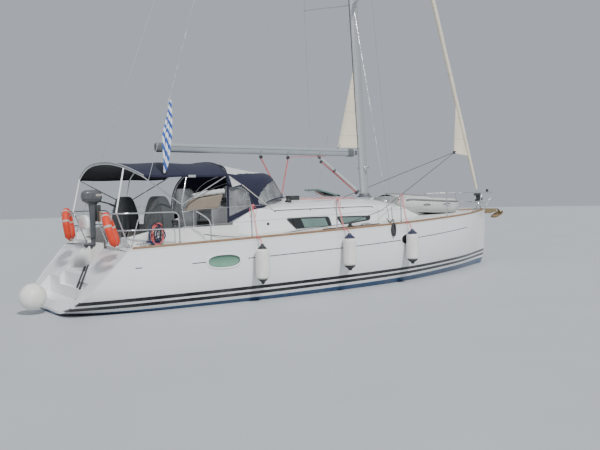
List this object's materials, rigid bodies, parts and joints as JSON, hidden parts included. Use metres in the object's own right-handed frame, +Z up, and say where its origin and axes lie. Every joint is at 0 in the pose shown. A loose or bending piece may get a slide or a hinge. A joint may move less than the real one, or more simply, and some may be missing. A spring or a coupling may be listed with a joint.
{
  "type": "cruising sailing yacht",
  "caption": "Sloop-rigged cruising yacht with a fin keel, stern steps, twin wheels, bimini, sprayhood, furled sails and a dinghy on its foredeck.",
  "frame": {"origin": "on the waterline and the centreline, amidships of the 11.85 m hull", "axes": "+X to the bow, +Y to port, +Z up"},
  "size_m": [13.05, 4.1472, 18.88],
  "materials": {
    "gelcoat": "polished white gelcoat",
    "deck": "moulded non-skid gelcoat",
    "teak": "oiled teak",
    "joinery": "varnished plywood",
    "antifouling": "matt antifouling paint",
    "bronze": "cast bronze",
    "aluminium": "anodised",
    "steel": "polished stainless steel",
    "galvanised": "weathered galvanising",
    "acrylic": "tinted acrylic",
    "navy_canvas": "woven acrylic canvas",
    "grey_canvas": "woven acrylic canvas",
    "tan_canvas": "woven canvas",
    "sailcloth": "woven polyester",
    "flagcloth": "striped bunting",
    "rubberised": "coated fabric",
    "fender": "smooth vinyl",
    "foam": "coated foam",
    "dark_paint": "gloss paint",
    "engine": "engine enamel"
  },
  "bodies": {
    "root": {"hull": "gelcoat", "transom_moulding": "gelcoat", "deck": "deck", "coachroof": "gelcoat", "cockpit": "gelcoat", "cabin_interior": "joinery", "engine_block": "engine", "keel": "antifouling", "saildrive": "dark_paint", "washboard": "acrylic", "cockpit_table": "teak", "backrest": "tan_canvas", "mast": "aluminium", "furled_genoa": "sailcloth", "backstays": "steel", "pulpit": "steel", "bimini_frame": "steel", "bimini_canopy": "navy_canvas", "sprayhood": "navy_canvas", "dinghy": "rubberised", "ball_fender": "fender", "outboard_motor": "dark_paint", "bow_fitting": "steel", "anchor": "galvanised", "ensign": "flagcloth", "toe_rail_starboard": "teak", "side_windows_starboard": "acrylic", "porthole_starboard": "acrylic", "helm_pedestal_starboard": "grey_canvas", "winch_starboard": "steel", "shrouds_starboard": "steel", "pushpit_starboard": "steel", "guardrail_starboard": "steel", "lifeline_starboard": "steel", "horseshoe_starboard": "foam", "toe_rail_port": "teak", "side_windows_port": "acrylic", "porthole_port": "acrylic", "helm_pedestal_port": "grey_canvas", "winch_port": "steel", "shrouds_port": "steel", "pushpit_port": "steel", "guardrail_port": "steel", "lifeline_port": "steel", "horseshoe_port": "foam", "fender_starboard_1": "fender", "fender_starboard_2": "fender", "fender_starboard_3": "fender"},
    "propeller": {"propeller": "bronze"},
    "rudder": {"rudder": "antifouling"},
    "wheel_starboard": {"wheel_starboard": "steel"},
    "wheel_port": {"wheel_port": "steel"},
    "boom": {"boom": "aluminium", "vang": "aluminium", "mainsail_clew": "sailcloth"},
    "companionway_hatch": {"companionway_hatch": "acrylic"},
    "saloon_hatch": {"saloon_hatch": "acrylic"},
    "anchor_locker_lid": {"anchor_locker_lid": "deck"},
    "locker_lid_starboard": {"locker_lid_starboard": "gelcoat"},
    "locker_lid_port": {"locker_lid_port": "gelcoat"}
  },
  "joints": [
    {"name": "propeller_turn", "type": "hinge", "parent": "root", "child": "propeller", "pos_m": [-2.865, 0, -0.84], "axis": [1, 0, 0], "continuous": true},
    {"name": "rudder_turn", "type": "hinge", "parent": "root", "child": "rudder", "pos_m": [-4.475, 0, -0.5], "axis": [0, 0, 1], "range_deg": [-35, 35]},
    {"name": "wheel_starboard_turn", "type": "hinge", "parent": "root", "child": "wheel_starboard", "pos_m": [-4.135, -0.8, 1.53], "axis": [1, 0, 0], "range_deg": [-450, 450]},
    {"name": "wheel_port_turn", "type": "hinge", "parent": "root", "child": "wheel_port", "pos_m": [-4.135, 0.8, 1.53], "axis": [1, 0, 0], "range_deg": [-450, 450]},
    {"name": "boom_swing", "type": "hinge", "parent": "root", "child": "boom", "pos_m": [1.4108, 0, 2.91], "axis": [-0.0534, 0, 0.9986], "range_deg": [-70, 70]},
    {"name": "companionway_hatch_slide", "type": "slide", "parent": "root", "child": "companionway_hatch", "axis": [1, 0, 0], "range_m": [0, 0.7]},
    {"name": "saloon_hatch_swing", "type": "hinge", "parent": "root", "child": "saloon_hatch", "pos_m": [0.675, 0, 1.891], "axis": [0, 1, 0], "range_deg": [-14, 60]},
    {"name": "anchor_locker_swing", "type": "hinge", "parent": "root", "child": "anchor_locker_lid", "pos_m": [4.875, 0, 1.424], "axis": [0, -1, 0], "range_deg": [0, 80]},
    {"name": "locker_lid_starboard_swing", "type": "hinge", "parent": "root", "child": "locker_lid_starboard", "pos_m": [-3.295, -1.08, 1.02], "axis": [1, 0, 0], "range_deg": [0, 80]},
    {"name": "locker_lid_port_swing", "type": "hinge", "parent": "root", "child": "locker_lid_port", "pos_m": [-3.295, 1.08, 1.02], "axis": [-1, 0, 0], "range_deg": [0, 80]}
  ],
  "couplings": [
    {"joint": "wheel_starboard_turn", "follows": "rudder_turn", "ratio": 12.857},
    {"joint": "wheel_port_turn", "follows": "rudder_turn", "ratio": 12.857}
  ]
}
